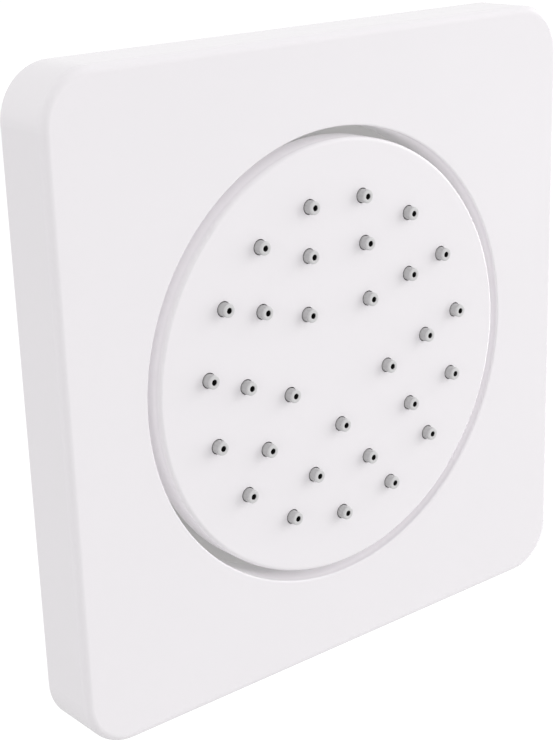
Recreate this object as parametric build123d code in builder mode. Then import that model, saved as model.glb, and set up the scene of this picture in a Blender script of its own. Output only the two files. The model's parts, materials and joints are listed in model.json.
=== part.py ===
from build123d import *
from math import acos, cos, degrees, radians, sqrt, tan
import os

# Shower body jet: a square cover plate clipped over a wall base, with a round spray head
# set flush in it that tilts and turns on a brass ball stem. Sizes are in millimetres.
# The origin is on the wall, behind the middle of the plate. +Z is up and the jet faces -Y.
# A "height" is a distance off the wall, along -Y, and is negative inside the wall.

# Gap between neighbouring parts that don't touch
part_clearance = 0.3

# Cover plate
plate_side = 120.0
plate_depth = 12.5
plate_corner_radius = 9.6
plate_edge_radius = 1.4
plate_front_wall = 2.6
plate_side_wall = 2.4
opening_lip_radius = 0.35
sleeve_wall = 1.55

# Spray head
spray_radius = 41.3
head_gap = 2.05
face_proud = 0.4
face_shoulder_radius = 0.75
face_wall = 2.0
skirt_wall = 1.6
skirt_depth = 5.5
inner_ring_count = 5
inner_ring_start_angle = -90.0
middle_ring_count = 10
middle_ring_start_angle = 0.0
outer_ring_count = 15
outer_ring_start_angle = 6.0
inner_ring_spacing = 9.45
middle_ring_spacing = 8.5
outer_ring_margin = 3.7
nozzle_hole_radius = 1.44
nozzle_base_radius = 1.28
nozzle_tip_radius = 1.25
nozzle_tip_rounding = 0.3
nozzle_proud = 2.06
nozzle_inlet_radius = 0.9
nozzle_outlet_radius = 0.53
mat_thickness = 1.0
mat_clearance = 0.2
ring_wall = 1.0
chamber_depth = 1.1
chamber_rim_thickness = 1.6
chamber_web_dip = 0.7
clamp_rib_width = 0.8
chamber_seal_section = 0.54
chamber_seal_clearance = 0.06

# Screws that close the spray head
head_screw_count = 6
head_screw_margin = 2.5
head_screw_boss_radius = 2.2
head_screw_boss_clearance = 0.1
head_screw_shank_radius = 1.1
head_screw_head_radius = 2.25
head_screw_length = 4.4
head_screw_slot_width = 0.5
head_screw_slot_depth = 0.7
head_screw_hole_clearance = 0.25
head_screw_sink_clearance = 0.1

# Ball joint
pivot_setback = 9.4
tilt_limit = 5.0
ball_radius = 7.0
seat_clearance = 0.05
seat_thickness = 1.25
seat_edge_margin = 1.0
front_seat_last_angle = 75.0
rear_seat_first_angle = 105.0
ball_seal_section = 1.0
seal_groove_clearance = 0.1
hub_wall = 1.45
water_gap = 0.9
collar_wall = 2.2
collar_back_setback = 6.0
collar_thread_length = 3.7
collar_notch_count = 6
collar_notch_width = 3.0
collar_notch_depth = 1.0
collar_chamfer = 0.4

# Brass stem
stem_bore_radius = 3.0
neck_wall = 1.2
neck_length = 8.0
stem_hex_across = 24.0
stem_hex_thickness = 4.0
hex_chamfer_angle = 30.0
hex_chamfer_inset = 0.4
thread_radius = 10.48
thread_clearance = 0.05
free_thread_length = 12.0
thread_relief_length = 1.0
thread_relief_depth = 0.6
thread_chamfer = 1.0
cartridge_bore_radius = 7.6

# Wall base, its gasket and the clips that hold the plate
base_floor = 2.0
base_rim_wall = 2.2
base_rim_height = 4.5
gasket_edge = 1.2
gasket_width = 2.2
gasket_thickness = 1.2
gasket_clearance = 0.1
spanner_room = 3.2
dish_wall = 2.0
dish_floor = 2.0
stem_hole_clearance = 0.2
wall_screw_hole_radius = 2.25
wall_screw_pad_radius = 4.4
wall_screw_pad_height = 1.2
clip_inset = 13.0
clip_post_radius = 2.6
clip_post_neck_radius = 2.1
clip_post_overhang = 2.0
clip_ring_inner_radius = 2.2
clip_ring_outer_radius = 3.5
clip_ring_thickness = 1.1
clip_ring_mouth = 2.4
clip_groove_clearance = 0.05
socket_clearance = 0.1
socket_wall = 1.4
socket_ridge = 0.3
socket_ridge_length = 0.8

# Washers and nut behind the base
stem_washer_thickness = 1.0
stem_washer_radius = 14.5
base_seal_thickness = 1.5
base_seal_radius = 16.0
slip_washer_thickness = 1.0
slip_washer_step = 0.4
backnut_margin = 3.2
backnut_thickness = 5.0

# Cartridge parts inside the stem
regulator_length = 6.0
regulator_clearance = 0.1
regulator_setback = 3.0
regulator_groove_inner_radius = 3.4
regulator_groove_outer_radius = 6.0
regulator_groove_depth = 3.0
regulator_ring_section = 1.15
regulator_hole_count = 8
regulator_hole_radius = 0.7
filter_rim_length = 1.2
filter_length = 8.0
filter_wall = 0.4
filter_rim_inner_radius = 5.8
filter_tip_radius = 3.0
filter_slot_count = 12
filter_slot_width = 0.6
inlet_washer_inner_radius = 6.2
inlet_washer_outer_radius = 9.3
inlet_washer_thickness = 1.6

# Heights of the plate and the base
plate_inside_height = plate_depth - plate_front_wall
sleeve_end_height = base_floor + part_clearance
opening_radius = spray_radius + head_gap
sleeve_outer_radius = opening_radius + sleeve_wall
plate_inside_side = plate_side - 2 * plate_side_wall
plate_inside_corner = plate_corner_radius - plate_side_wall
base_side = plate_inside_side - 2 * part_clearance
base_corner = plate_inside_corner - part_clearance
rim_inner_half_side = base_side / 2 - base_rim_wall
wall_screw_circle_radius = (sleeve_outer_radius + rim_inner_half_side) / 2
clip_spacing = plate_side - 2 * clip_inset
clip_height = (base_floor + plate_inside_height) / 2
clip_post_top_height = clip_height + clip_post_overhang
socket_bore_radius = clip_ring_outer_radius + socket_clearance
socket_outer_radius = socket_bore_radius + socket_wall

# Heights of the spray head, from its face inwards
face_height = plate_depth + face_proud
mat_front_height = face_height - face_wall
mat_back_height = mat_front_height - mat_thickness
nozzle_tip_height = plate_depth + nozzle_proud
rim_front_height = mat_back_height - chamber_depth
rim_back_height = rim_front_height - chamber_rim_thickness
skirt_end_height = face_height - skirt_depth

# Radii of the spray head, from its edge inwards
chamber_rim_radius = spray_radius - skirt_wall - part_clearance
head_screw_circle_radius = chamber_rim_radius - head_screw_margin
ring_wall_inner_radius = (
    head_screw_circle_radius - head_screw_boss_radius - head_screw_boss_clearance
)
ring_wall_outer_radius = ring_wall_inner_radius + ring_wall
mat_radius = ring_wall_inner_radius - mat_clearance
clamp_rib_outer_radius = (
    ring_wall_inner_radius - 2 * chamber_seal_section - 2 * chamber_seal_clearance
)
clamp_rib_inner_radius = clamp_rib_outer_radius - clamp_rib_width
outer_ring_radius = mat_radius - outer_ring_margin
middle_ring_radius = outer_ring_radius - middle_ring_spacing
inner_ring_radius = middle_ring_radius - inner_ring_spacing
nozzle_rings = [
    (inner_ring_count, inner_ring_radius, inner_ring_start_angle),
    (middle_ring_count, middle_ring_radius, middle_ring_start_angle),
    (outer_ring_count, outer_ring_radius, outer_ring_start_angle),
]

# Sizes of the ball joint, from its centre outwards
pivot_height = face_height - pivot_setback
seat_inner_radius = ball_radius + seat_clearance
seat_outer_radius = seat_inner_radius + seat_thickness
pocket_radius = seat_outer_radius + seat_clearance
seal_centre_radius = seat_inner_radius + ball_seal_section
seal_groove_radius = seal_centre_radius + ball_seal_section + seal_groove_clearance
seal_groove_half = ball_seal_section + seal_groove_clearance
hub_radius = seal_groove_radius + hub_wall
hub_front_height = mat_back_height - water_gap
hub_back_height = pivot_height - seal_groove_half
ball_front_height = hub_front_height - part_clearance
collar_bore_radius = hub_radius + thread_clearance
collar_radius = collar_bore_radius + collar_wall
collar_back_height = pivot_height - collar_back_setback
collar_front_height = hub_back_height + collar_thread_length
web_front_height = rim_front_height - chamber_web_dip
web_back_height = collar_front_height + part_clearance

# Heights of the stem and of what is clamped on it
neck_radius = stem_bore_radius + neck_wall
hex_front_height = pivot_height - neck_length
hex_back_height = hex_front_height - stem_hex_thickness
dish_front_height = hex_back_height - stem_washer_thickness
dish_back_height = dish_front_height - dish_floor
base_seal_back_height = dish_back_height - base_seal_thickness
slip_washer_back_height = base_seal_back_height - slip_washer_thickness
backnut_back_height = slip_washer_back_height - backnut_thickness
thread_start_height = backnut_back_height - thread_relief_length
stem_end_height = thread_start_height - free_thread_length - thread_chamfer
dish_inner_radius = stem_hex_across / 2 / cos(radians(30)) + spanner_room
dish_outer_radius = dish_inner_radius + dish_wall
slip_washer_radius = base_seal_radius - slip_washer_step
backnut_across = 2 * slip_washer_radius - backnut_margin
stem_hole_radius = thread_radius + stem_hole_clearance
thread_bore_radius = thread_radius + thread_clearance
filter_front_height = stem_end_height + filter_length
regulator_back_height = filter_front_height + regulator_setback
regulator_front_height = regulator_back_height + regulator_length

# Profile plane: its x is the distance from the jet's axis, its y the height off the wall
PROFILE = Plane(origin=(0, 0, 0), x_dir=(1, 0, 0), z_dir=(0, 0, -1))


def at_height(height):
    """Plane parallel to the wall, facing out of it, with x to the right and y up."""
    return Plane.XZ.offset(height)


def sphere_edge(radius, height):
    """Distance from the axis at which a sphere about the pivot reaches a height."""
    return sqrt(radius**2 - (height - pivot_height) ** 2)


def pivot_angle(height, radius):
    """Angle, from straight out of the wall, at which a sphere about the pivot reaches a height."""
    return degrees(acos((height - pivot_height) / radius))


def washer(inner_radius, outer_radius, back_height, thickness):
    """Flat ring about the jet's axis."""
    with BuildPart() as ring:
        with BuildSketch(at_height(back_height)):
            Circle(outer_radius)
            Circle(inner_radius, mode=Mode.SUBTRACT)
        extrude(amount=thickness)
    return ring


def o_ring(centre_radius, section_radius, height):
    """Round-section ring about the jet's axis."""
    with BuildPart() as ring:
        with BuildSketch(PROFILE):
            with Locations((centre_radius, height)):
                Circle(section_radius)
        revolve(axis=Axis.Y)
    return ring


def ball_seat(first_angle, last_angle):
    """Plastic ring between the ball and its pocket, from one angle off the axis to another."""
    with BuildPart() as seat:
        with BuildSketch(PROFILE):
            with BuildLine():
                span = last_angle - first_angle
                inner = CenterArc((0, pivot_height), seat_inner_radius, 90 - last_angle, span)
                outer = CenterArc((0, pivot_height), seat_outer_radius, 90 - last_angle, span)
                Line(inner @ 0, outer @ 0)
                Line(inner @ 1, outer @ 1)
            make_face()
        revolve(axis=Axis.Y)
    return seat


def hexagon(across, back_height, thickness):
    """Hexagon about the jet's axis, its corners turned off to a chamfer on both faces."""
    with BuildPart() as block:
        with BuildSketch(at_height(back_height)):
            RegularPolygon(across / 2, 6, major_radius=False)
        extrude(amount=thickness)
        with BuildSketch(PROFILE):
            face_radius = across / 2 - hex_chamfer_inset
            corner_radius = across / 2 / cos(radians(30))
            chamfer_height = (corner_radius - face_radius) * tan(radians(hex_chamfer_angle))
            front_height = back_height + thickness
            with BuildLine():
                Polyline(
                    (0, back_height),
                    (face_radius, back_height),
                    (corner_radius, back_height + chamfer_height),
                    (corner_radius, front_height - chamfer_height),
                    (face_radius, front_height),
                    (0, front_height),
                    close=True,
                )
            make_face()
        revolve(axis=Axis.Y, mode=Mode.INTERSECT)
    return block


os.makedirs("parts", exist_ok=True)

# Cover plate: a square shell with a round sleeve behind its opening and four clip sockets
with BuildPart() as face_plate:
    with BuildSketch(at_height(0)):
        RectangleRounded(plate_side, plate_side, plate_corner_radius)
    extrude(amount=plate_depth)
    fillet(face_plate.faces().sort_by(Axis.Y)[0].edges(), radius=plate_edge_radius)
    with BuildSketch(at_height(0)):
        RectangleRounded(plate_inside_side, plate_inside_side, plate_inside_corner)
    extrude(amount=plate_inside_height, mode=Mode.SUBTRACT)
    with BuildSketch(at_height(sleeve_end_height)):
        Circle(sleeve_outer_radius)
        with GridLocations(clip_spacing, clip_spacing, 2, 2):
            Circle(socket_outer_radius)
    extrude(amount=plate_inside_height - sleeve_end_height)
    with BuildSketch(at_height(sleeve_end_height)):
        Circle(opening_radius)
    extrude(amount=plate_depth - sleeve_end_height, mode=Mode.SUBTRACT)
    front_circles = face_plate.edges().filter_by(GeomType.CIRCLE).group_by(Axis.Y)[0]
    fillet(front_circles.sort_by(SortBy.RADIUS)[-1], radius=opening_lip_radius)
    ridge_front_height = clip_height - clip_ring_thickness / 2 - clip_groove_clearance
    with BuildSketch(at_height(sleeve_end_height)):
        with GridLocations(clip_spacing, clip_spacing, 2, 2):
            Circle(socket_bore_radius - socket_ridge)
    extrude(amount=plate_inside_height - sleeve_end_height, mode=Mode.SUBTRACT)
    with BuildSketch(at_height(ridge_front_height)):
        with GridLocations(clip_spacing, clip_spacing, 2, 2):
            Circle(socket_bore_radius)
    extrude(amount=plate_inside_height - ridge_front_height, mode=Mode.SUBTRACT)
    with BuildSketch(at_height(sleeve_end_height)):
        with GridLocations(clip_spacing, clip_spacing, 2, 2):
            Circle(socket_bore_radius)
    extrude(amount=ridge_front_height - socket_ridge_length - sleeve_end_height, mode=Mode.SUBTRACT)
face_plate.part.label = "face_plate"
export_step(face_plate.part, "parts/face_plate.step")

# Wall base: a square floor with a rim, a dish for the stem, screw pads and clip posts
with BuildPart() as mounting_base:
    with BuildSketch(at_height(0)):
        RectangleRounded(base_side, base_side, base_corner)
    extrude(amount=base_rim_height)
    with BuildSketch(at_height(base_floor)):
        rim_inner_side = 2 * rim_inner_half_side
        RectangleRounded(rim_inner_side, rim_inner_side, base_corner - base_rim_wall)
    extrude(amount=base_rim_height - base_floor, mode=Mode.SUBTRACT)
    with BuildSketch(at_height(base_floor)):
        with PolarLocations(wall_screw_circle_radius, 4):
            Circle(wall_screw_pad_radius)
    extrude(amount=wall_screw_pad_height)
    with BuildSketch(at_height(base_floor)):
        with GridLocations(clip_spacing, clip_spacing, 2, 2):
            Circle(clip_post_radius)
    extrude(amount=clip_post_top_height - base_floor)
    clip_groove_width = clip_ring_thickness + 2 * clip_groove_clearance
    with BuildSketch(at_height(clip_height - clip_groove_width / 2)):
        with GridLocations(clip_spacing, clip_spacing, 2, 2):
            Circle(clip_post_radius)
            Circle(clip_post_neck_radius, mode=Mode.SUBTRACT)
    extrude(amount=clip_groove_width, mode=Mode.SUBTRACT)
    with BuildSketch(at_height(dish_back_height)):
        Circle(dish_outer_radius)
    extrude(amount=-dish_back_height)
    with BuildSketch(at_height(dish_front_height)):
        Circle(dish_inner_radius)
    extrude(amount=base_floor - dish_front_height, mode=Mode.SUBTRACT)
    with BuildSketch(at_height(dish_back_height)):
        Circle(stem_hole_radius)
    extrude(amount=dish_floor, mode=Mode.SUBTRACT)
    with Locations(at_height(base_floor + wall_screw_pad_height)):
        with PolarLocations(wall_screw_circle_radius, 4):
            Hole(wall_screw_hole_radius, depth=base_floor + wall_screw_pad_height)
    gasket_groove_width = gasket_width + 2 * gasket_clearance
    groove_outer_side = base_side - 2 * gasket_edge
    groove_inner_side = groove_outer_side - 2 * gasket_groove_width
    with BuildSketch(at_height(0)):
        RectangleRounded(groove_outer_side, groove_outer_side, base_corner - gasket_edge)
        RectangleRounded(groove_inner_side, groove_inner_side,
                         base_corner - gasket_edge - gasket_groove_width, mode=Mode.SUBTRACT)
    extrude(amount=gasket_thickness, mode=Mode.SUBTRACT)
mounting_base.part.label = "mounting_base"
export_step(mounting_base.part, "parts/mounting_base.step")

# Gasket in the groove of the base, flush with the wall
with BuildPart() as plate_gasket:
    gasket_outer_side = groove_outer_side - 2 * gasket_clearance
    gasket_inner_side = gasket_outer_side - 2 * gasket_width
    gasket_corner = base_corner - gasket_edge - gasket_clearance
    with BuildSketch(at_height(0)):
        RectangleRounded(gasket_outer_side, gasket_outer_side, gasket_corner)
        RectangleRounded(gasket_inner_side, gasket_inner_side, gasket_corner - gasket_width,
                         mode=Mode.SUBTRACT)
    extrude(amount=gasket_thickness)
plate_gasket.part.label = "plate_gasket"
export_step(plate_gasket.part, "parts/plate_gasket.step")

# Snap rings on the clip posts: open rings that spring out behind the ridges in the sockets
with BuildPart() as spring_clips:
    with BuildSketch(at_height(clip_height - clip_ring_thickness / 2)):
        with GridLocations(clip_spacing, clip_spacing, 2, 2):
            Circle(clip_ring_outer_radius)
            Circle(clip_ring_inner_radius, mode=Mode.SUBTRACT)
            with Locations((clip_ring_outer_radius, 0)):
                Rectangle(2 * clip_ring_outer_radius, clip_ring_mouth, mode=Mode.SUBTRACT)
    extrude(amount=clip_ring_thickness)
spring_clips.part.label = "spring_clips"
export_step(spring_clips.part, "parts/spring_clips.step")

# Stem: one brass turning with the ball, the spanner hexagon and the inlet thread
stem_hexagon = hexagon(stem_hex_across, hex_back_height, stem_hex_thickness)
with BuildPart() as ball_stem:
    with BuildSketch(PROFILE):
        with BuildLine():
            ball_front = (sphere_edge(ball_radius, ball_front_height), ball_front_height)
            neck_front_height = pivot_height - sqrt(ball_radius**2 - neck_radius**2)
            relief_radius = thread_radius - thread_relief_depth
            Line((0, ball_front_height), ball_front)
            ThreePointArc(ball_front, (ball_radius, pivot_height), (neck_radius, neck_front_height))
            Polyline(
                (neck_radius, neck_front_height),
                (neck_radius, hex_front_height),
                (thread_radius, hex_front_height),
                (thread_radius, backnut_back_height),
                (relief_radius, backnut_back_height),
                (relief_radius, thread_start_height),
                (thread_radius, thread_start_height),
                (thread_radius, stem_end_height + thread_chamfer),
                (thread_radius - thread_chamfer, stem_end_height),
                (0, stem_end_height),
                (0, ball_front_height),
            )
        make_face()
    revolve(axis=Axis.Y)
    add(stem_hexagon.part)
    with BuildSketch(at_height(stem_end_height)):
        Circle(stem_bore_radius)
    extrude(amount=ball_front_height - stem_end_height, mode=Mode.SUBTRACT)
    with BuildSketch(at_height(stem_end_height)):
        Circle(cartridge_bore_radius)
    extrude(amount=regulator_front_height - stem_end_height, mode=Mode.SUBTRACT)
ball_stem.part.label = "ball_stem"
export_step(ball_stem.part, "parts/ball_stem.step")

# Washers that clamp the base between the hexagon and the backnut
stem_washer = washer(thread_bore_radius, stem_washer_radius, dish_front_height, stem_washer_thickness)
stem_washer.part.label = "stem_washer"
export_step(stem_washer.part, "parts/stem_washer.step")

base_seal = washer(thread_bore_radius, base_seal_radius, base_seal_back_height, base_seal_thickness)
base_seal.part.label = "base_seal"
export_step(base_seal.part, "parts/base_seal.step")

slip_washer = washer(thread_bore_radius, slip_washer_radius, slip_washer_back_height,
                     slip_washer_thickness)
slip_washer.part.label = "slip_washer"
export_step(slip_washer.part, "parts/slip_washer.step")

# Backnut behind the base
backnut_hexagon = hexagon(backnut_across, backnut_back_height, backnut_thickness)
with BuildPart() as backnut:
    add(backnut_hexagon.part)
    with BuildSketch(at_height(backnut_back_height)):
        Circle(thread_bore_radius)
    extrude(amount=backnut_thickness, mode=Mode.SUBTRACT)
backnut.part.label = "backnut"
export_step(backnut.part, "parts/backnut.step")

# Flow regulator: a plug with a ring groove on its inlet side and a circle of small holes
with BuildPart() as flow_regulator:
    with BuildSketch(at_height(regulator_back_height)):
        Circle(cartridge_bore_radius - regulator_clearance)
    extrude(amount=regulator_length)
    with BuildSketch(at_height(regulator_back_height)):
        Circle(regulator_groove_outer_radius)
        Circle(regulator_groove_inner_radius, mode=Mode.SUBTRACT)
    extrude(amount=regulator_groove_depth, mode=Mode.SUBTRACT)
    regulator_hole_circle = (regulator_groove_inner_radius + regulator_groove_outer_radius) / 2
    with BuildSketch(at_height(regulator_back_height)):
        with PolarLocations(regulator_hole_circle, regulator_hole_count):
            Circle(regulator_hole_radius)
    extrude(amount=regulator_length, mode=Mode.SUBTRACT)
flow_regulator.part.label = "flow_regulator"
export_step(flow_regulator.part, "parts/flow_regulator.step")

# Elastic ring of the regulator, lying in its groove over the holes
ring_height = regulator_back_height + regulator_groove_depth - regulator_ring_section
regulator_ring = o_ring(regulator_hole_circle, regulator_ring_section, ring_height)
regulator_ring.part.label = "regulator_ring"
export_step(regulator_ring.part, "parts/regulator_ring.step")

# Inlet filter: a slotted cone with a rim, its tip pointing downstream
with BuildPart() as inlet_filter:
    rim_front_of_filter = stem_end_height + filter_rim_length
    with BuildSketch(PROFILE):
        with BuildLine():
            Polyline(
                (cartridge_bore_radius - regulator_clearance, stem_end_height),
                (cartridge_bore_radius - regulator_clearance, rim_front_of_filter),
                (filter_rim_inner_radius + filter_wall, rim_front_of_filter),
                (filter_tip_radius + filter_wall, filter_front_height),
                (0, filter_front_height),
                (0, filter_front_height - filter_wall),
                (filter_tip_radius, filter_front_height - filter_wall),
                (filter_rim_inner_radius, rim_front_of_filter - filter_wall),
                (filter_rim_inner_radius, stem_end_height),
                close=True,
            )
        make_face()
    revolve(axis=Axis.Y)
    slot_length = filter_rim_inner_radius - filter_tip_radius - 2 * filter_wall
    slot_circle_radius = (filter_rim_inner_radius + filter_tip_radius + filter_wall) / 2
    with BuildSketch(at_height(rim_front_of_filter)):
        with PolarLocations(slot_circle_radius, filter_slot_count):
            Rectangle(slot_length, filter_slot_width)
    extrude(amount=filter_length - filter_rim_length - filter_wall, mode=Mode.SUBTRACT)
inlet_filter.part.label = "inlet_filter"
export_step(inlet_filter.part, "parts/inlet_filter.step")

# Washer on the end of the stem, which also holds the filter in
inlet_washer = washer(inlet_washer_inner_radius, inlet_washer_outer_radius,
                      stem_end_height - inlet_washer_thickness, inlet_washer_thickness)
inlet_washer.part.label = "inlet_washer"
export_step(inlet_washer.part, "parts/inlet_washer.step")

# Seats that the ball turns in, one on each side of its seal
front_seat_first_angle = pivot_angle(hub_front_height, pocket_radius) + seat_edge_margin
front_seat = ball_seat(front_seat_first_angle, front_seat_last_angle)
front_seat.part.label = "front_seat"
export_step(front_seat.part, "parts/front_seat.step")

rear_seat_last_angle = pivot_angle(collar_back_height, pocket_radius) - tilt_limit - seat_edge_margin
rear_seat = ball_seat(rear_seat_first_angle, rear_seat_last_angle)
rear_seat.part.label = "rear_seat"
export_step(rear_seat.part, "parts/rear_seat.step")

# Seal round the ball, between the two seats
ball_seal = o_ring(seal_centre_radius, ball_seal_section, pivot_height)
ball_seal.part.label = "ball_seal"
export_step(ball_seal.part, "parts/ball_seal.step")

# Spray face: the round front with its skirt, the ring round the nozzle mat and screw bosses
with BuildPart() as spray_face:
    with BuildSketch(PROFILE):
        with BuildLine():
            shoulder_start = (spray_radius - face_shoulder_radius, face_height)
            shoulder_end = (spray_radius, face_height - face_shoulder_radius)
            Line((0, face_height), shoulder_start)
            RadiusArc(shoulder_start, shoulder_end, face_shoulder_radius)
            Polyline(
                shoulder_end,
                (spray_radius, skirt_end_height),
                (spray_radius - skirt_wall, skirt_end_height),
                (spray_radius - skirt_wall, mat_front_height),
                (ring_wall_outer_radius, mat_front_height),
                (ring_wall_outer_radius, rim_front_height),
                (ring_wall_inner_radius, rim_front_height),
                (ring_wall_inner_radius, mat_front_height),
                (0, mat_front_height),
                (0, face_height),
            )
        make_face()
    revolve(axis=Axis.Y)
    with BuildSketch(at_height(rim_front_height)):
        with PolarLocations(head_screw_circle_radius, head_screw_count):
            Circle(head_screw_boss_radius)
    extrude(amount=mat_front_height - rim_front_height)
    pilot_radius = head_screw_shank_radius + thread_clearance
    screw_tip_height = rim_back_height + head_screw_length
    with BuildSketch(at_height(rim_front_height)):
        with PolarLocations(head_screw_circle_radius, head_screw_count):
            Circle(pilot_radius)
    extrude(amount=screw_tip_height + thread_clearance - rim_front_height, mode=Mode.SUBTRACT)
    for count, ring_radius, start_angle in nozzle_rings:
        with BuildSketch(at_height(mat_front_height)):
            with PolarLocations(ring_radius, count, start_angle):
                Circle(nozzle_hole_radius)
        extrude(amount=face_wall, mode=Mode.SUBTRACT)
spray_face.part.label = "spray_face"
export_step(spray_face.part, "parts/spray_face.step")

# Nozzle mat: a soft disc behind the spray face, with every nozzle moulded on it
with BuildPart() as nozzle_mat:
    with BuildSketch(at_height(mat_back_height)):
        Circle(mat_radius)
    extrude(amount=mat_thickness)
    nozzle_length = nozzle_tip_height - mat_front_height
    bore_length = nozzle_tip_height - mat_back_height
    on_base = (Align.CENTER, Align.CENTER, Align.MIN)
    for count, ring_radius, start_angle in nozzle_rings:
        with Locations(at_height(mat_front_height)):
            with PolarLocations(ring_radius, count, start_angle):
                Cone(nozzle_base_radius, nozzle_tip_radius, nozzle_length, align=on_base)
    fillet(nozzle_mat.edges().group_by(Axis.Y)[0], radius=nozzle_tip_rounding)
    for count, ring_radius, start_angle in nozzle_rings:
        with Locations(at_height(mat_back_height)):
            with PolarLocations(ring_radius, count, start_angle):
                Cone(nozzle_inlet_radius, nozzle_outlet_radius, bore_length, align=on_base,
                     mode=Mode.SUBTRACT)
nozzle_mat.part.label = "nozzle_mat"
export_step(nozzle_mat.part, "parts/nozzle_mat.step")

# Chamber back: closes the head, clamps the mat and carries the front half of the ball pocket
with BuildPart() as chamber_back:
    with BuildSketch(PROFILE):
        with BuildLine():
            pocket_back_height = pivot_height + seal_groove_half
            pocket_middle_height = (hub_front_height + pocket_back_height) / 2
            hub_front_edge = (sphere_edge(pocket_radius, hub_front_height), hub_front_height)
            pocket_edge = (sphere_edge(pocket_radius, pocket_back_height), pocket_back_height)
            pocket_middle = (sphere_edge(pocket_radius, pocket_middle_height), pocket_middle_height)
            ThreePointArc(hub_front_edge, pocket_middle, pocket_edge)
            Polyline(
                pocket_edge,
                (seal_groove_radius, pocket_back_height),
                (seal_groove_radius, hub_back_height),
                (hub_radius, hub_back_height),
                (hub_radius, web_back_height),
                (collar_radius, web_back_height),
                (clamp_rib_inner_radius, rim_back_height),
                (chamber_rim_radius, rim_back_height),
                (chamber_rim_radius, rim_front_height),
                (clamp_rib_outer_radius, rim_front_height),
                (clamp_rib_outer_radius, mat_back_height),
                (clamp_rib_inner_radius, mat_back_height),
                (clamp_rib_inner_radius, rim_front_height),
                (collar_radius, web_front_height),
                (seal_groove_radius, hub_front_height),
                hub_front_edge,
            )
        make_face()
    revolve(axis=Axis.Y)
    screw_hole_radius = head_screw_shank_radius + head_screw_hole_clearance
    with Locations(at_height(rim_back_height)):
        with PolarLocations(head_screw_circle_radius, head_screw_count):
            with Locations(Rotation(180, 0, 0)):
                CounterSinkHole(screw_hole_radius, head_screw_head_radius + head_screw_sink_clearance,
                                depth=chamber_rim_thickness, counter_sink_angle=90)
chamber_back.part.label = "chamber_back"
export_step(chamber_back.part, "parts/chamber_back.step")

# Seal round the clamped mat, in the corner between the mat, the ring wall and the chamber back
chamber_seal_radius = ring_wall_inner_radius - chamber_seal_section - chamber_seal_clearance
chamber_seal = o_ring(chamber_seal_radius, chamber_seal_section, (mat_back_height + rim_front_height) / 2)
chamber_seal.part.label = "chamber_seal"
export_step(chamber_seal.part, "parts/chamber_seal.step")

# Countersunk screws that hold the chamber back to the spray face
with BuildPart() as head_screws:
    cone_length = head_screw_head_radius - head_screw_shank_radius
    with Locations(at_height(rim_back_height)):
        with PolarLocations(head_screw_circle_radius, head_screw_count):
            Cone(head_screw_head_radius, head_screw_shank_radius, cone_length, align=on_base)
            Cylinder(head_screw_shank_radius, head_screw_length, align=on_base)
            slot_size = 2 * head_screw_shank_radius
            Box(slot_size, head_screw_slot_width, head_screw_slot_depth, align=on_base,
                mode=Mode.SUBTRACT)
            Box(head_screw_slot_width, slot_size, head_screw_slot_depth, align=on_base,
                mode=Mode.SUBTRACT)
head_screws.part.label = "head_screws"
export_step(head_screws.part, "parts/head_screws.step")

# Collar: screws over the hub and holds the ball in from behind
with BuildPart() as collar_nut:
    with BuildSketch(PROFILE):
        with BuildLine():
            back_edge = (sphere_edge(pocket_radius, collar_back_height), collar_back_height)
            front_edge = (sphere_edge(pocket_radius, hub_back_height), hub_back_height)
            pocket_middle_height = (collar_back_height + hub_back_height) / 2
            pocket_middle = (sphere_edge(pocket_radius, pocket_middle_height), pocket_middle_height)
            ThreePointArc(back_edge, pocket_middle, front_edge)
            Polyline(
                front_edge,
                (collar_bore_radius, hub_back_height),
                (collar_bore_radius, collar_front_height),
                (collar_radius, collar_front_height),
                (collar_radius, collar_back_height),
                back_edge,
            )
        make_face()
    revolve(axis=Axis.Y)
    back_circles = collar_nut.edges().filter_by(GeomType.CIRCLE).group_by(Axis.Y)[-1]
    chamfer(back_circles.sort_by(SortBy.RADIUS)[-1], length=collar_chamfer)
    with BuildSketch(at_height(collar_back_height)):
        with PolarLocations(collar_radius, collar_notch_count):
            Rectangle(2 * collar_notch_depth, collar_notch_width)
    extrude(amount=collar_front_height - collar_back_height, mode=Mode.SUBTRACT)
collar_nut.part.label = "collar_nut"
export_step(collar_nut.part, "parts/collar_nut.step")
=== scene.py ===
import json
import math

import bpy
from mathutils import Matrix, Vector


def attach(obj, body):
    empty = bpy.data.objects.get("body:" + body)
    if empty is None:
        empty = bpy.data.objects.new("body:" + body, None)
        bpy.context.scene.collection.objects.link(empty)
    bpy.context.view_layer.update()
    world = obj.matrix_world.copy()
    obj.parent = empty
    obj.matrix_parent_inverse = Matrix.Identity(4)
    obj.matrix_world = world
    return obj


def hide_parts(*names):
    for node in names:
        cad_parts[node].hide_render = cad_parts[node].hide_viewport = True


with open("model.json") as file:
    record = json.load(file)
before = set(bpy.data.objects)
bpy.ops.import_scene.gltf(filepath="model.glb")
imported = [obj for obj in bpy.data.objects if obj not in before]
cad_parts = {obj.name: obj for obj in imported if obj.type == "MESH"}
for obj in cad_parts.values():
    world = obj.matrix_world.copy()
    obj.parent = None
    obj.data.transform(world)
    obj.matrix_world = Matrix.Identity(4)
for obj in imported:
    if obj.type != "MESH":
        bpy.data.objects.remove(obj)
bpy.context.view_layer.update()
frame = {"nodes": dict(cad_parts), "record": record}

# A square white shower body jet, seen from its upper left. Metres, in the frame of the model:
# the wall is the plane y = 0, the jet faces -Y and +Z is up. A height is a distance off the
# wall, along -Y, and a radius is a distance from the jet's axis.
MM = 0.001
WHITE = (1.0, 1.0, 1.0, 1.0)

# How far a vertex may lie from the edge or face that it is looked for on
PLACE_TOLERANCE = 0.01 * MM
# Vertices nearer than this are merged
MERGE_DISTANCE = 0.001 * MM
# Edges flatter than this are shaded smooth, in degrees
SMOOTHING_ANGLE = 32

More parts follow.
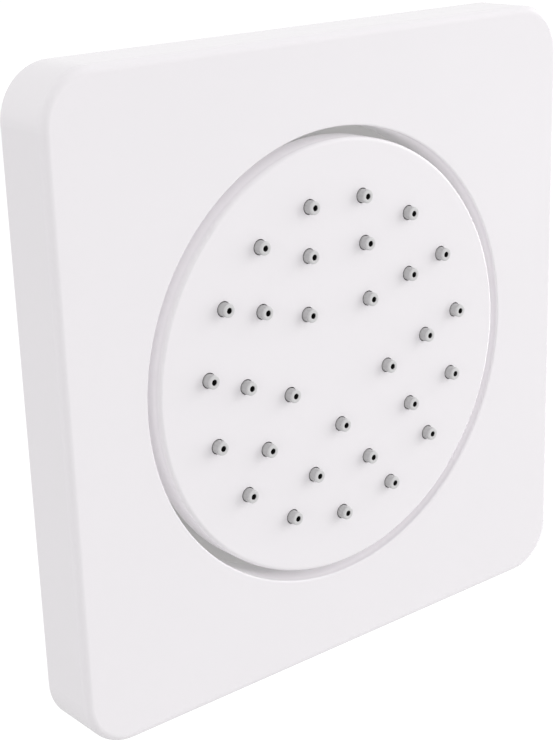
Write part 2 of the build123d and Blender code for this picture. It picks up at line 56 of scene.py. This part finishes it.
# Painted light that lifts the shade in the gap round the spray head: its walls and the floor
# behind it glow, though they are no lamps
GAP_PAINTED_LIGHT = 0.115
GAP_FLOOR_PAINTED_LIGHT = 0.14

# Studio
WORLD_LEVEL = 0.812
FLOOR_HEIGHT = -0.34
FLOOR_SIZE = 14
FLOOR_COLOUR = (0.72, 0.72, 0.72, 1.0)
FLOOR_WHITE_SHARE = 0.55
FLOOR_WHITE_LEVEL = 1.42


class Signal:
    """What one output of a node carries over a surface, with the arithmetic used on it."""

    def __init__(self, tree, socket):
        self.tree = tree
        self.socket = socket

    def __add__(self, other):
        return self.tree.math("ADD", self, other)

    def __radd__(self, other):
        return self.tree.math("ADD", other, self)

    def __sub__(self, other):
        return self.tree.math("SUBTRACT", self, other)

    def __rsub__(self, other):
        return self.tree.math("SUBTRACT", other, self)

    def __mul__(self, other):
        return self.tree.math("MULTIPLY", self, other)

    def __rmul__(self, other):
        return self.tree.math("MULTIPLY", other, self)


class Tree:
    """The nodes of a material or of the world."""

    def __init__(self, owner, output):
        owner.use_nodes = True
        self.nodes = owner.node_tree.nodes
        self.links = owner.node_tree.links
        self.nodes.clear()
        self.output = self.nodes.new(output)

    def node(self, kind, settings, sockets, output=0):
        """Adds a node, sets it up, and returns one of its outputs as a signal."""
        made = self.nodes.new(kind)
        for name, value in settings.items():
            setattr(made, name, value)
        for name, value in sockets.items():
            self.feed(made.inputs[name], value)
        return Signal(self, made.outputs[output])

    def feed(self, socket, value):
        """Links a signal to a socket, or sets the socket's own value."""
        if isinstance(value, Signal):
            self.links.new(value.socket, socket)
        else:
            socket.default_value = value

    def math(self, operation, first, second):
        return self.node("ShaderNodeMath", {"operation": operation}, {0: first, 1: second})

    def ray(self, kind):
        """1 where the ray is of one kind, otherwise 0."""
        return self.node("ShaderNodeLightPath", {}, {}, kind)

    def show(self, factor, first, second):
        """Puts a mix of two shaders on the surface."""
        mix = self.node("ShaderNodeMixShader", {}, {0: factor, 1: first, 2: second})
        self.feed(self.output.inputs["Surface"], mix)


class Finish(Tree):
    """One material: its shader and the patterns that feed it."""

    def __init__(self, name, **constants):
        self.material = bpy.data.materials.new(name)
        super().__init__(self.material, "ShaderNodeOutputMaterial")
        self.shader = self.nodes.new("ShaderNodeBsdfPrincipled")
        self.links.new(self.shader.outputs["BSDF"], self.output.inputs["Surface"])
        for socket, value in constants.items():
            self.shader.inputs[socket.replace("_", " ")].default_value = value

    def paint(self, socket, value):
        """Feeds one of the shader's own sockets."""
        self.feed(self.shader.inputs[socket], value)

    def place(self):
        """Position on the piece."""
        return self.node("ShaderNodeTexCoord", {}, {}, "Object")

    def radius_and_height(self):
        """Distance from the jet's axis, and height off the wall."""
        parts = self.node("ShaderNodeSeparateXYZ", {}, {0: self.place()}).socket.node
        across, depth, up = (Signal(self, parts.outputs[axis]) for axis in "XYZ")
        radius_squared = across * across + up * up
        return self.math("POWER", radius_squared, 0.5), 0.0 - depth

    def noise(self, size, detail=2.0, place=None):
        """Noise whose features are about one size across, from 0 to 1."""
        sockets = {"Vector": place or self.place(), "Scale": 1 / size, "Detail": detail}
        return self.node("ShaderNodeTexNoise", {}, sockets)

    def lathe_marks(self, size):
        """Noise in rings about the jet's axis, as a turning tool leaves it."""
        radius, height = self.radius_and_height()
        ring = self.node("ShaderNodeCombineXYZ", {}, {0: radius, 1: height, 2: 0.0})
        return self.noise(size, detail=3.0, place=ring)

    def step(self, signal, start, end):
        """Smooth step of a signal: 0 at the start, 1 at the end."""
        return self.node(
            "ShaderNodeMapRange", {"interpolation_type": "SMOOTHSTEP"},
            {"Value": signal, "From Min": start, "From Max": end},
        )

    def blend(self, factor, first, second):
        """Colour between two others, each a plain colour or a pattern."""
        first, second = (
            colour if isinstance(colour, Signal) else (*colour, 1.0) for colour in (first, second)
        )
        sockets = {0: factor, 6: first, 7: second}
        return self.node("ShaderNodeMix", {"data_type": "RGBA"}, sockets, 2)

    def colour(self, factor, first, second):
        """Colours the surface between two others."""
        self.paint("Base Color", self.blend(factor, first, second))

    def roughness(self, factor, low, high):
        """Spreads the roughness over a range."""
        self.paint("Roughness", factor * (high - low) + low)

    def glow(self, mask, level):
        """Painted light: gives off faint white light where a mask is 1, though the surface is no
        lamp.
        """
        self.paint("Emission Color", self.blend(mask, (0.0, 0.0, 0.0), (level, level, level)))

    def relief(self, pattern, depth):
        """Small relief of the surface."""
        sockets = {"Strength": 1.0, "Distance": depth, "Height": pattern}
        self.paint("Normal", self.node("ShaderNodeBump", {}, sockets, "Normal"))


def moulded_white(name, painted_light_from, painted_light_to, painted_light_height):
    """Glossy white plastic, very slightly uneven as it comes from a polished mould. The walls
    of the gap glow faintly with painted light that lifts their shade: from one radius to another,
    and ever more below a height."""
    finish = Finish(name, IOR=1.46, Emission_Strength=1.0)
    fade_depth = 1.2 * MM
    radius, height = finish.radius_and_height()
    in_gap = finish.step(radius, painted_light_from, painted_light_to)
    below = finish.step(height, painted_light_height, painted_light_height - fade_depth)
    # Painted light on the gap's walls, deeper down ever more
    finish.glow(in_gap * below, GAP_PAINTED_LIGHT)
    finish.colour(finish.noise(size=18 * MM), (0.884, 0.858, 0.884), (0.872, 0.848, 0.872))
    finish.roughness(finish.noise(size=3 * MM), low=0.22, high=0.28)
    finish.relief(finish.noise(size=1.4 * MM), depth=0.0006 * MM)
    return finish


def matte_white():
    """White plastic with the fine grain of an eroded mould. Behind the gap it glows faintly with
    painted light that lifts its shade.
    """
    finish = Finish("matte_white", IOR=1.46, Emission_Strength=1.0)
    dark_height, painted_light_height = 1.6 * MM, 1.9 * MM
    dark_radius, painted_light_radius = 45.0 * MM, 44.0 * MM
    radius, height = finish.radius_and_height()
    raised = finish.step(height, dark_height, painted_light_height)
    # Painted light on the base floor behind the gap
    finish.glow(raised * finish.step(radius, dark_radius, painted_light_radius), GAP_FLOOR_PAINTED_LIGHT)
    finish.colour(finish.noise(size=9 * MM), (0.80, 0.79, 0.77), (0.76, 0.755, 0.74))
    finish.roughness(finish.noise(size=1.2 * MM), low=0.48, high=0.6)
    finish.relief(finish.noise(size=0.35 * MM), depth=0.02 * MM)
    return finish


def matte_grey():
    """Light grey moulded plastic."""
    finish = Finish("matte_grey", IOR=1.48)
    finish.colour(finish.noise(size=7 * MM), (0.43, 0.44, 0.45), (0.38, 0.39, 0.40))
    finish.roughness(finish.noise(size=1.0 * MM), low=0.42, high=0.56)
    finish.relief(finish.noise(size=0.3 * MM), depth=0.015 * MM)
    return finish


def natural_nylon():
    """Cream nylon with the marks of the lathe."""
    finish = Finish("natural_nylon", IOR=1.53)
    finish.colour(finish.noise(size=2.5 * MM, detail=4.0), (0.80, 0.77, 0.69), (0.72, 0.68, 0.58))
    finish.roughness(finish.noise(size=0.8 * MM), low=0.36, high=0.5)
    finish.relief(finish.lathe_marks(size=0.2 * MM), depth=0.006 * MM)
    return finish


def green_plastic():
    """Blue-green plastic of the flow regulator."""
    finish = Finish("green_plastic", IOR=1.5)
    finish.colour(finish.noise(size=2 * MM), (0.24, 0.42, 0.38), (0.19, 0.35, 0.32))
    finish.roughness(finish.noise(size=0.7 * MM), low=0.34, high=0.46)
    finish.relief(finish.noise(size=0.25 * MM), depth=0.008 * MM)
    return finish


def silicone():
    """Soft light grey silicone, with a painted highlight that makes the nozzles' tips paler than
    their sides, and painted shade that darkens them where they leave the face.
    """
    finish = Finish("soft_silicone", IOR=1.42)
    tip_highlight_start, tip_highlight_full = 14.2 * MM, 14.5 * MM
    foot_shade_start, foot_shade_full = 12.9 * MM, 12.7 * MM
    tip_highlight_share = 0.85
    height = finish.radius_and_height()[1]
    # Painted highlight: the tips, which face the light, are made paler than the sides
    tip = finish.step(height, tip_highlight_start, tip_highlight_full)
    highlight_and_mottle = tip * tip_highlight_share + finish.noise(size=0.9 * MM, detail=3.0) * (1 - tip_highlight_share)
    skin_with_highlight = finish.blend(highlight_and_mottle, (0.51, 0.505, 0.51), (0.65, 0.645, 0.65))
    # Painted shade: near black at the foot of each nozzle, down in the shadowed gap of its hole
    finish.colour(finish.step(height, foot_shade_start, foot_shade_full), skin_with_highlight, (0.14, 0.14, 0.14))
    finish.roughness(finish.noise(size=0.4 * MM), low=0.42, high=0.55)
    finish.relief(finish.noise(size=0.15 * MM), depth=0.004 * MM)
    return finish


def painted_shade_bore():
    """Painted shade: the near-black inside of a nozzle, where it is unlit."""
    finish = Finish("painted_shade_bore", IOR=1.42)
    finish.colour(finish.noise(size=0.5 * MM), (0.012, 0.012, 0.012), (0.006, 0.006, 0.006))
    finish.roughness(finish.noise(size=0.3 * MM), low=0.7, high=0.8)
    return finish


def black_rubber():
    """Black rubber with fine pores and a faint bloom."""
    finish = Finish("black_rubber", IOR=1.5)
    bloom = finish.noise(size=5 * MM, detail=5.0)
    finish.colour(bloom, (0.026, 0.026, 0.027), (0.055, 0.054, 0.053))
    finish.roughness(finish.noise(size=1.0 * MM), low=0.62, high=0.8)
    finish.relief(finish.noise(size=0.25 * MM, detail=4.0), depth=0.03 * MM)
    return finish


def turned_brass():
    """Plain brass as it comes from the lathe, a little dulled."""
    finish = Finish("turned_brass", Metallic=1.0)
    finish.colour(finish.noise(size=4 * MM, detail=5.0), (0.80, 0.61, 0.30), (0.66, 0.48, 0.22))
    marks = finish.lathe_marks(size=0.12 * MM)
    finish.roughness(marks, low=0.22, high=0.4)
    finish.relief(marks, depth=0.006 * MM)
    return finish


def plain_stainless():
    """Stainless steel as rolled, neither polished nor brushed."""
    finish = Finish("plain_stainless", Metallic=1.0)
    finish.colour(finish.noise(size=1.5 * MM, detail=4.0), (0.64, 0.64, 0.65), (0.56, 0.56, 0.57))
    finish.roughness(finish.noise(size=0.3 * MM), low=0.25, high=0.4)
    finish.relief(finish.noise(size=0.12 * MM), depth=0.003 * MM)
    return finish


FINISHES = {
    "plate_white": moulded_white("plate_white", 43.9 * MM, 43.5 * MM, 12.2 * MM),
    "face_white": moulded_white("face_white", 40.5 * MM, 41.1 * MM, 12.6 * MM),
    "base_white": matte_white(),
    "grey_plastic": matte_grey(),
    "nylon": natural_nylon(),
    "regulator_plastic": green_plastic(),
    "nozzle_silicone": silicone(),
    "black_rubber": black_rubber(),
    "brass": turned_brass(),
    "stainless": plain_stainless(),
}
PAINTED_SHADE_BORE = painted_shade_bore()


def finish_cad_nodes():
    """Gives each CAD node the finish of its slot in the record."""
    slots = {part["node"]: part["material_slot"] for part in frame["record"]["subparts"]}
    for name, node in frame["nodes"].items():
        for index in range(len(node.material_slots)):
            node.material_slots[index].material = FINISHES[slots[name]].material


def drop_selection():
    """Leaves edit mode with nothing selected, so that what comes next is worked on alone."""
    if bpy.context.mode != "OBJECT":
        bpy.ops.object.mode_set(mode="OBJECT")
    bpy.ops.object.select_all(action="DESELECT")


def take(*pieces):
    """Selects some pieces alone and makes the first one active."""
    drop_selection()
    for piece in pieces:
        piece.select_set(True)
    bpy.context.view_layer.objects.active = pieces[0]


def apply_place():
    """Puts the selected piece's place into its mesh."""
    bpy.ops.object.transform_apply(location=True, rotation=True, scale=True)


def merge_all():
    """Merges the active piece's doubled vertices, and leaves it all selected in edit mode."""
    bpy.ops.object.mode_set(mode="EDIT")
    bpy.ops.mesh.select_all(action="SELECT")
    bpy.ops.mesh.remove_doubles(threshold=MERGE_DISTANCE)


def pick(kind, test):
    """In edit mode, selects only the active piece's faces or edges that pass a test."""
    bpy.ops.object.mode_set(mode="EDIT")
    bpy.ops.mesh.select_mode(type=kind)
    bpy.ops.mesh.select_all(action="DESELECT")
    bpy.ops.object.mode_set(mode="OBJECT")
    mesh = bpy.context.object.data
    for element in mesh.polygons if kind == "FACE" else mesh.edges:
        element.select = test(element)
    bpy.ops.object.mode_set(mode="EDIT")


def near(value, wanted):
    return abs(value - wanted) < PLACE_TOLERANCE


def round_rim(height, radius, rounding):
    """Rounds the circular edge at one height and radius."""
    vertices = bpy.context.object.data.vertices

    def on_rim(edge):
        ends = [vertices[index].co for index in edge.vertices]
        return all(near(-end.y, height) and near(math.hypot(end.x, end.z), radius) for end in ends)

    pick("EDGE", on_rim)
    bpy.ops.mesh.bevel(offset=rounding, segments=5, affect="EDGES", clamp_overlap=True)


def settle(piece, name, body, replaced):
    """Names a finished piece and seats it on its body."""
    take(piece)
    apply_place()
    bpy.ops.object.shade_smooth_by_angle(angle=math.radians(SMOOTHING_ANGLE))
    piece.name = name
    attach(piece, body)
    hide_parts(*replaced)


def add_rod(radius, back, front, sides):
    """Cylinder on the jet's axis, from one height to another."""
    drop_selection()
    bpy.ops.mesh.primitive_cylinder_add(
        vertices=sides, radius=radius, depth=front - back,
        location=(0, -(back + front) / 2, 0), rotation=(math.pi / 2, 0, 0),
    )
    apply_place()
    return bpy.context.object


def model_nozzle(root, mat_front):
    """One nozzle on the jet's axis: rounded at the tip, and bored with a rounded mouth."""
    tip = 14.56 * MM
    radius, tip_rounding = 1.255 * MM, 0.26 * MM
    bore_radius, bore_depth, mouth_rounding = 0.545 * MM, 3.6 * MM, 0.13 * MM
    nozzle = add_rod(radius, root, tip, sides=48)
    pick("FACE", lambda face: face.normal.y < -0.99 and near(-face.center.y, tip))
    bpy.ops.mesh.inset(thickness=radius - bore_radius, depth=0)
    bpy.ops.mesh.extrude_region_move(TRANSFORM_OT_translate={"value": (0, bore_depth, 0)})
    round_rim(tip, radius, tip_rounding)
    round_rim(tip, bore_radius, mouth_rounding)
    bpy.ops.object.mode_set(mode="OBJECT")
    for finish in (FINISHES["nozzle_silicone"], PAINTED_SHADE_BORE):
        nozzle.data.materials.append(finish.material)
    # The bore's inner faces take the painted-shade finish, the rest plain silicone
    for face in nozzle.data.polygons:
        off_axis = math.hypot(face.center.x, face.center.z)
        face.material_index = int(off_axis < bore_radius and -face.center.y > mat_front)
    return nozzle


def model_nozzles():
    """Soft mat with its thirty nozzles, in three rings."""
    mat_back, mat_front, mat_radius = 9.9 * MM, 10.9 * MM, 34.4 * MM
    nozzle_root = mat_back + 0.4 * MM
    rings = (  # nozzles, radius of the ring, and angle of its first nozzle in degrees
        (5, 12.75 * MM, -90.0),
        (10, 22.2 * MM, 0.0),
        (15, 30.7 * MM, 6.0),
    )
    nozzle = model_nozzle(nozzle_root, mat_front)
    mat = add_rod(mat_radius, mat_back, mat_front, sides=160)
    mat.data.materials.append(FINISHES["nozzle_silicone"].material)
    copies = []
    for count, ring_radius, first_angle in rings:
        for index in range(count):
            angle = math.radians(first_angle + 360 / count * index)
            copy = nozzle.copy()
            copy.data = nozzle.data.copy()
            copy.location = (ring_radius * math.cos(angle), 0, ring_radius * math.sin(angle))
            bpy.context.scene.collection.objects.link(copy)
            copies.append(copy)
    bpy.data.objects.remove(nozzle)
    take(mat, *copies)
    bpy.ops.object.join()
    settle(mat, "soft_nozzles", "spray_head", ["nozzle_mat"])


def model_thread_cutter():
    """The groove of a G 1/2 thread, as a solid: a triangle wound about the jet's axis."""
    pitch, root, outside = 1.814 * MM, 9.34 * MM, 10.63 * MM
    start = 14.6 * MM
    turns, steps_per_turn = 11, 64
    groove_depth = outside - root
    bpy.ops.mesh.primitive_circle_add(
        vertices=3, radius=groove_depth / 1.5, location=(outside - groove_depth / 3, start, 0),
        rotation=(0, 0, math.pi / 2),
    )
    cutter = bpy.context.object
    apply_place()
    screw = cutter.modifiers.new("thread", "SCREW")
    screw.axis = "Y"
    screw.screw_offset = pitch
    screw.iterations = turns
    screw.steps = steps_per_turn
    screw.render_steps = steps_per_turn
    bpy.ops.object.modifier_apply(modifier="thread")
    merge_all()
    bpy.ops.mesh.fill_holes(sides=0)
    bpy.ops.mesh.select_all(action="SELECT")
    bpy.ops.mesh.normals_make_consistent(inside=False)
    return cutter


def model_stem():
    """The brass stem, with its inlet thread cut into a copy of its plain solid."""
    drop_selection()
    plain = frame["nodes"]["ball_stem"]
    stem = plain.copy()
    stem.data = plain.data.copy()
    stem.parent = None
    bpy.context.scene.collection.objects.link(stem)
    take(stem)
    merge_all()
    drop_selection()
    cutter = model_thread_cutter()
    take(stem)
    cut = stem.modifiers.new("thread", "BOOLEAN")
    cut.operation = "DIFFERENCE"
    cut.solver = "EXACT"
    cut.object = cutter
    bpy.ops.object.modifier_apply(modifier="thread")
    bpy.data.objects.remove(cutter)
    settle(stem, "threaded_stem", "root", ["ball_stem"])


def place_camera():
    """Camera at the photograph's place, looking a little down from the upper left."""
    plate_side, plate_front = 120 * MM, -12.5 * MM
    place_in_sides = Vector((-1.58507, -1.78844, 0.78097))
    right = Vector((0.76646, -0.64151, -0.03183))
    up = Vector((0.22693, 0.22410, 0.94778))
    back = Vector((-0.60087, -0.73365, 0.31734))
    camera = bpy.data.objects.new("camera", bpy.data.cameras.new("camera"))
    bpy.context.scene.collection.objects.link(camera)
    turn = Matrix((right, up, back)).transposed().to_4x4()
    place = place_in_sides * plate_side + Vector((0, plate_front, 0))
    camera.matrix_world = Matrix.Translation(place) @ turn
    camera.data.sensor_width = 36
    camera.data.lens = 78.44
    camera.data.shift_x = -0.0009
    camera.data.shift_y = 0.0012
    camera.data.clip_start = 0.01
    camera.data.clip_end = 20
    bpy.context.scene.camera = camera


def light_world():
    """Even daylight studio: plain light on matte surfaces, white where it is seen or mirrored."""
    world = bpy.data.worlds.new("studio")
    bpy.context.scene.world = world
    tree = Tree(world, "ShaderNodeOutputWorld")
    lit, seen = (
        tree.node("ShaderNodeBackground", {}, {"Color": WHITE, "Strength": level})
        for level in (WORLD_LEVEL, 1.0)
    )
    tree.show(1 - tree.ray("Is Diffuse Ray"), lit, seen)


def place_lamp(name, place, width, height, power, mirrored=False):
    """Soft lamp that faces the jet. Only a mirrored one is seen in glossy surfaces."""
    lamp = bpy.data.objects.new(name, bpy.data.lights.new(name, "AREA"))
    bpy.context.scene.collection.objects.link(lamp)
    lamp.data.shape = "RECTANGLE"
    lamp.data.size = width
    lamp.data.size_y = height
    lamp.data.energy = power
    lamp.visible_glossy = mirrored
    turn = Vector(place).to_track_quat("Z", "Y").to_matrix().to_4x4()
    lamp.matrix_world = Matrix.Translation(place) @ turn


def place_lamps():
    """Soft boxes round the jet, and a tall strip at its right that its edges mirror."""
    place_lamp("right", (1.87, -1.07, 0.45), width=1.5, height=2.2, power=22.2)
    place_lamp(
        "right_strip", (0.62, -0.08, 0.0), width=0.14, height=0.6, power=1.0, mirrored=True
    )
    place_lamp("left", (-0.84, -0.43, 0.10), width=0.45, height=0.45, power=0.58)
    place_lamp("left_back", (-1.1, 0.45, 0.95), width=0.7, height=0.7, power=1.7)


def lay_floor():
    """Pale floor well below the jet. It looks white to the camera, with the jet's soft shadow."""
    drop_selection()
    bpy.ops.mesh.primitive_plane_add(size=FLOOR_SIZE, location=(0, 0, FLOOR_HEIGHT))
    floor = bpy.context.object
    floor.name = "floor"
    apply_place()
    material = bpy.data.materials.new("pale_floor")
    tree = Tree(material, "ShaderNodeOutputMaterial")
    lit = tree.node("ShaderNodeBsdfDiffuse", {}, {"Color": FLOOR_COLOUR})
    white = {"Color": WHITE, "Strength": FLOOR_WHITE_LEVEL}
    seen = tree.node("ShaderNodeEmission", {}, white)
    tree.show(tree.ray("Is Camera Ray") * FLOOR_WHITE_SHARE, lit, seen)
    floor.data.materials.append(material)


finish_cad_nodes()
model_nozzles()
model_stem()
place_camera()
light_world()
place_lamps()
lay_floor()
bpy.context.scene.view_settings.view_transform = "Standard"
